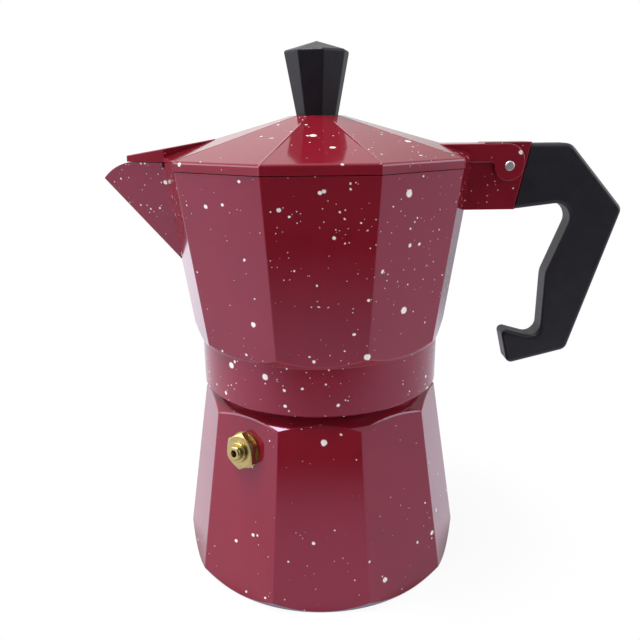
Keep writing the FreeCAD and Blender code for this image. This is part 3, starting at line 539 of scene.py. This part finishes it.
dress("lid", enamelled("lid_enamel", lid_painted, share=0.5, offset=LID_SPATTER, bead=LID_BEAD))


# Stage: a white sheet on a table, soft lamps above and to the sides, and the camera of the photograph.
# The sheet ends in front of the pot, and the room there and behind to the right is darker, as the
# pot's facets show.
SHEET_FRONT = -0.28
SHEET_BACK = 2.4
SHEET_SIDE = 1.6
sheet_mesh = bpy.data.meshes.new("white_sheet")
front_edge = [(-SHEET_SIDE, SHEET_FRONT, 0), (SHEET_SIDE, SHEET_FRONT, 0)]
back_edge = [(SHEET_SIDE, SHEET_BACK, 0), (-SHEET_SIDE, SHEET_BACK, 0)]
sheet_mesh.from_pydata(front_edge + back_edge, [], [(0, 1, 2, 3)])
white_sheet = bpy.data.objects.new("white_sheet", sheet_mesh)
bpy.context.scene.collection.objects.link(white_sheet)


def seen_rays(tree):
    """Whether a ray comes from the camera or a mirror, and whether it comes from a mirror. Glass counts
    as a mirror."""
    rays = add(tree, "ShaderNodeLightPath").outputs
    mirrored = calc(tree, "MAXIMUM", rays["Is Glossy Ray"], rays["Is Transmission Ray"])
    return calc(tree, "MAXIMUM", rays["Is Camera Ray"], mirrored), mirrored


def back_right(tree, x, y, near, far):
    """Dim corner of the room behind the pot's handle, which is full beyond X near and Y far."""
    return calc(tree, "MULTIPLY", ramp(tree, x, 0.0, near), ramp(tree, y, 0.3 * far, far))


PAPER_WHITE = (0.86, 0.86, 0.87, 1)
CAMERA_DAYLIGHT = (1, 1, 1, 1)
MIRROR_DAYLIGHT = (1.0, 1.0, 1.12, 1)
PAPER_BY_WINDOW = 1.3
PAPER_IN_CORNER = 0.4


def white_paper():
    """Paper that shows white to the camera and in mirrors, and keeps a faint shadow near the pot. In
    mirrors its glow carries painted shade towards its front edge, under the foot and in the dim corner,
    and painted light by the window."""
    material, tree, shader, place = finish_of("white_paper", Base_Color=PAPER_WHITE, Roughness=0.9)
    x, y = axes_of(tree, place)[:2]
    distance = vector(tree, "LENGTH", place)["Value"]
    seen, mirrored = seen_rays(tree)
    # Painted shade and light in mirrors: the glow dims under the foot, towards the front edge and in the
    # dim corner, and is brighter by the window.
    foot_painted_shade = ramp(tree, distance, 0.0425, 0.05, 0.45, 1.0)
    front = calc(tree, "MULTIPLY", ramp(tree, y, SHEET_FRONT, -0.09, 0.0, 0.9), foot_painted_shade)
    open_side = calc(tree, "MAXIMUM", front, calc(tree, "SUBTRACT", 1.0, mirrored))
    by_window = calc(tree, "MULTIPLY", mirrored, ramp(tree, x, -0.03, -0.2))
    window = span(tree, by_window, 1.0, PAPER_BY_WINDOW)
    in_corner = calc(tree, "MULTIPLY", mirrored, back_right(tree, x, y, 0.12, 0.3))
    corner = span(tree, in_corner, 1.0, PAPER_IN_CORNER)
    white = calc(tree, "MULTIPLY", calc(tree, "MULTIPLY", open_side, window), corner)
    daylight = blend(tree, mirrored, CAMERA_DAYLIGHT, MIRROR_DAYLIGHT)
    glow = add(tree, "ShaderNodeEmission", {"Color": daylight, "Strength": white})
    share = calc(tree, "MULTIPLY", seen, ramp(tree, distance, 0.045, 0.1, 0.92, 1.0))
    lifted = add(tree, "ShaderNodeMixShader", {0: share, 1: shader.outputs[0], 2: glow.outputs[0]})
    tree.links.new(lifted.outputs[0], tree.nodes["Material Output"].inputs["Surface"])
    return material


ROOM_DARK = 0.92
CORNER_DARK = 0.5


def studio_light():
    """Even light all round. The camera sees white, and so do mirrors, but for the dark room in front and
    the dim corner."""
    world = bpy.data.worlds.new("studio")
    world.use_nodes = True
    tree = world.node_tree
    ambient = tree.nodes["Background"]
    ambient.inputs["Color"].default_value = (0.97, 0.98, 1.0, 1)
    ambient.inputs["Strength"].default_value = 0.33
    x, y = axes_of(tree, add(tree, "ShaderNodeTexCoord").outputs["Generated"])[:2]
    seen, mirrored = seen_rays(tree)
    room = calc(tree, "MULTIPLY", ramp(tree, y, -0.35, -0.75), ROOM_DARK)
    corner = calc(tree, "MULTIPLY", back_right(tree, x, y, 0.35, 0.7), CORNER_DARK)
    dim = calc(tree, "MULTIPLY", mirrored, calc(tree, "MAXIMUM", room, corner))
    white = calc(tree, "SUBTRACT", 1.0, dim)
    backdrop = add(tree, "ShaderNodeBackground", {"Color": CAMERA_DAYLIGHT, "Strength": white})
    shown = add(tree, "ShaderNodeMixShader", {0: seen, 1: ambient.outputs[0], 2: backdrop.outputs[0]})
    tree.links.new(shown.outputs[0], tree.nodes["World Output"].inputs["Surface"])
    return world


sheet_mesh.materials.append(white_paper())
bpy.context.scene.world = studio_light()

LAMP_AIM = Vector((0, 0, 0.08))


def softbox(name, place, size, watts):
    """Square lamp that faces the middle of the pot."""
    lamp = bpy.data.lights.new(name, "AREA")
    lamp.size = size
    lamp.energy = watts
    holder = bpy.data.objects.new(name, lamp)
    holder.location = place
    holder.rotation_mode = "QUATERNION"
    holder.rotation_quaternion = (LAMP_AIM - Vector(place)).to_track_quat("-Z", "Y")
    bpy.context.scene.collection.objects.link(holder)


softbox("ceiling_softbox", (-0.26, -0.04, 0.78), 0.36, 7.4)
softbox("left_softbox", (-0.8, -0.08, 0.35), 0.5, 3.0)
softbox("right_softbox", (0.8, -0.08, 0.4), 0.5, 2.6)

CAMERA_PLACE = Vector((-0.003061, -0.202322, 0.136938))
CAMERA_AIM = Vector((0.015157, 0.956596, -0.291022))
CAMERA_ROLL = math.radians(-0.594)
PHOTO_WIDTH = 640
FOCAL_PIXELS = 665.61
lens = bpy.data.cameras.new("photo_camera")
lens.sensor_width = 36.0
lens.lens = FOCAL_PIXELS * lens.sensor_width / PHOTO_WIDTH
lens.clip_start = 0.01
camera = bpy.data.objects.new("photo_camera", lens)
camera.location = CAMERA_PLACE
camera.rotation_mode = "QUATERNION"
camera.rotation_quaternion = CAMERA_AIM.to_track_quat("-Z", "Y") @ Quaternion((0, 0, 1), CAMERA_ROLL)
bpy.context.scene.collection.objects.link(camera)
bpy.context.scene.camera = camera
bpy.context.scene.view_settings.view_transform = "Standard"
